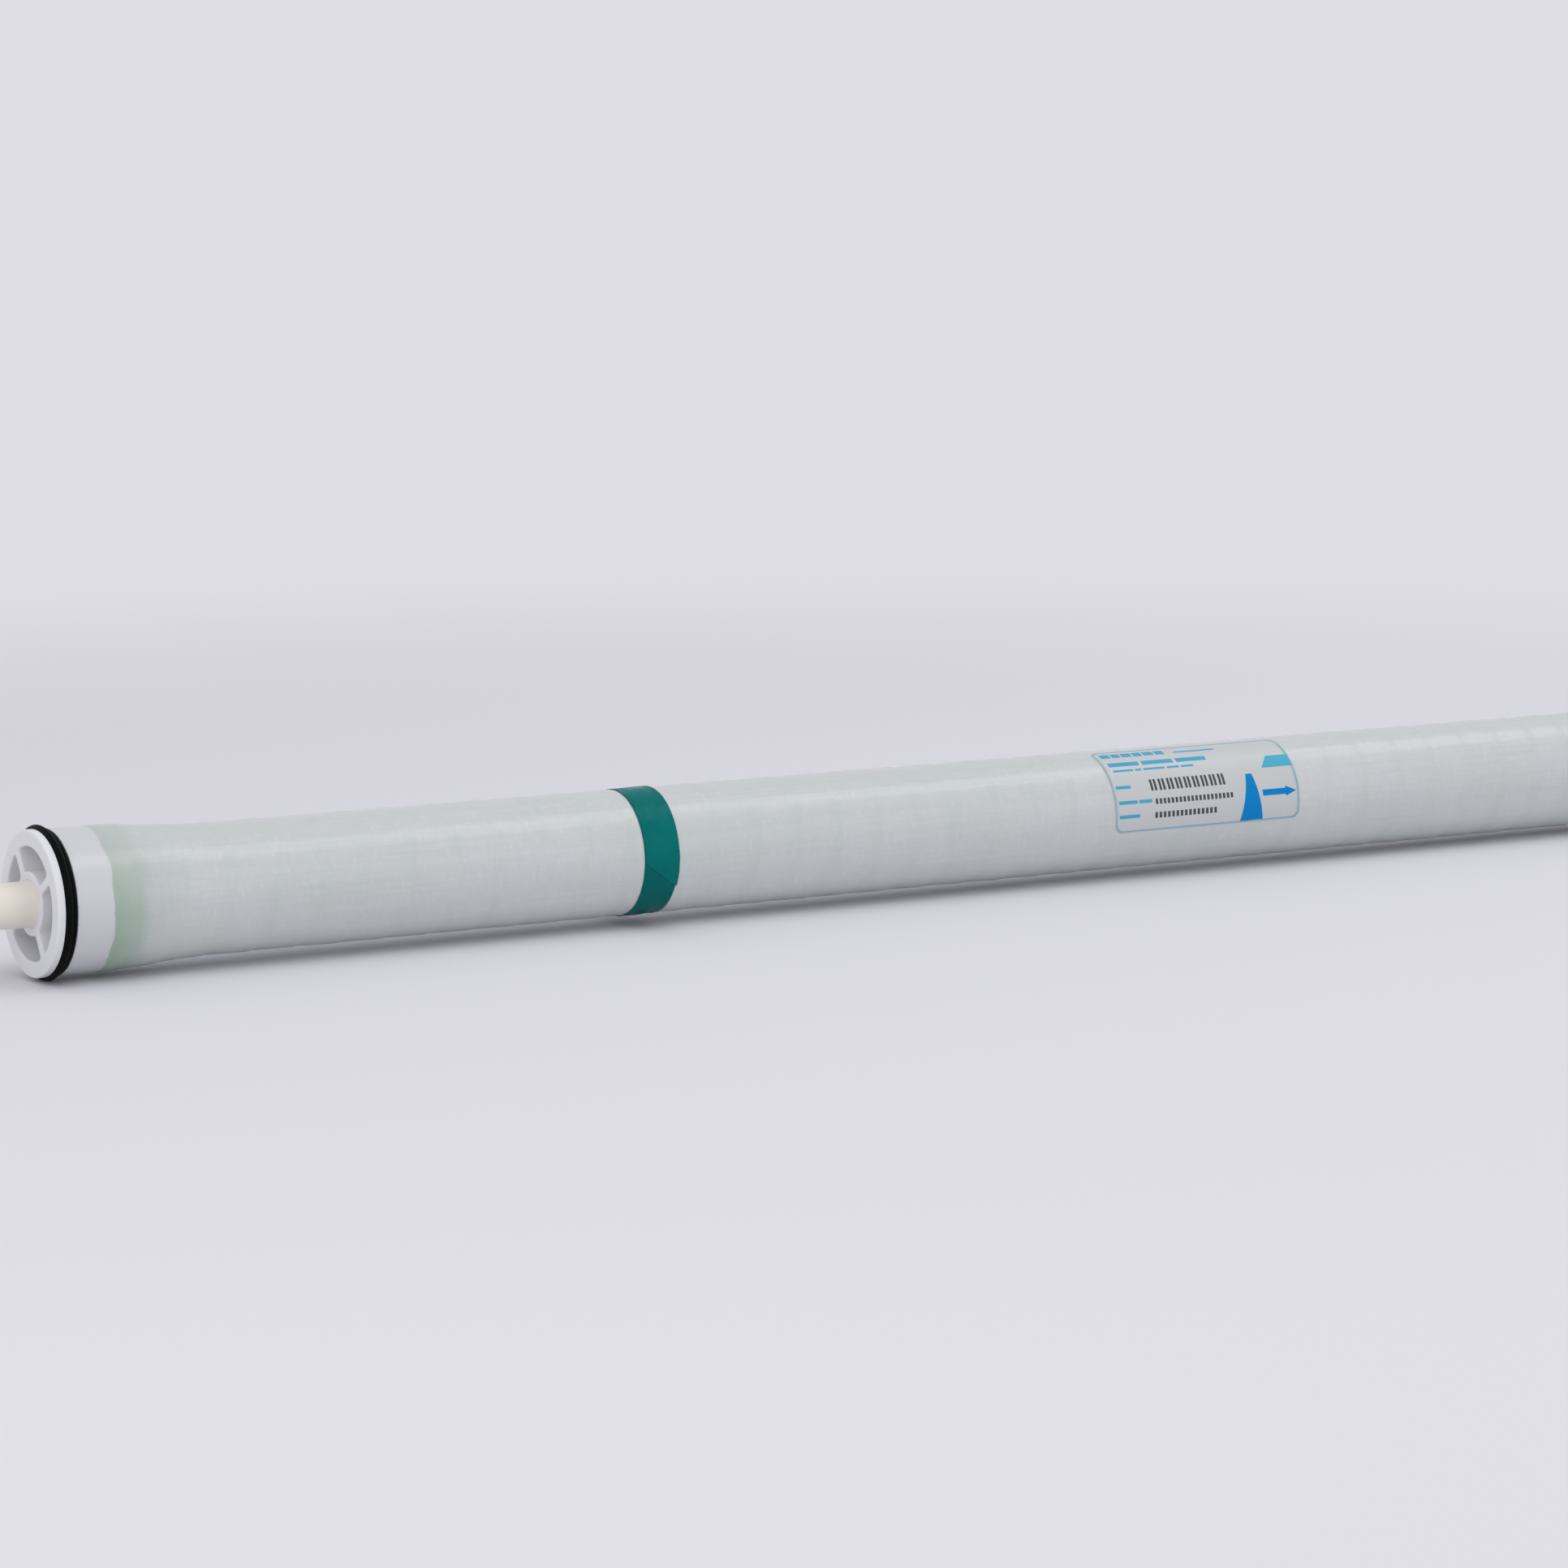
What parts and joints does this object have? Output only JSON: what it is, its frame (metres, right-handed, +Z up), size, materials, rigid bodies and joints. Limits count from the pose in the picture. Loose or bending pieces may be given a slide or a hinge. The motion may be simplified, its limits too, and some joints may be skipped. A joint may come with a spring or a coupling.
{
  "type": "reverse osmosis membrane element",
  "caption": "Spiral-wound membrane element: leaf pack on a product tube, spoked end caps, a brine seal, fibreglass wrap, colour band and label.",
  "frame": {"origin": "on the element's axis, half-way along the product tube", "axes": "+X along the axis from the feed end, which carries the brine seal, to the brine end; +Z up; the element lies level"},
  "size_m": [1.016, 0.0648, 0.0648],
  "materials": {
    "tube_plastic": "cream noryl-type plastic, satin",
    "cap_plastic": "white moulded plastic, satin",
    "seal_rubber": "black EPDM-type rubber, low sheen",
    "fibreglass": "translucent white-green fibreglass and resin, glossy",
    "green_tape": "pale green fixing tape",
    "band_tape": "teal adhesive tape",
    "label_film": null,
    "membrane_sheet": "membrane on non-woven backing",
    "spacer_net": "extruded net"
  },
  "bodies": {
    "root": {"permeate_tube": "tube_plastic", "feed_end_cap": "cap_plastic", "brine_end_cap": "cap_plastic", "brine_seal": "seal_rubber", "outer_wrap": "fibreglass", "end_tapes": "green_tape", "colour_band": "band_tape", "label": "label_film", "membrane_envelope_1": "membrane_sheet", "membrane_envelope_2": "membrane_sheet", "feed_spacer_1": "spacer_net", "feed_spacer_2": "spacer_net"}
  },
  "joints": []
}
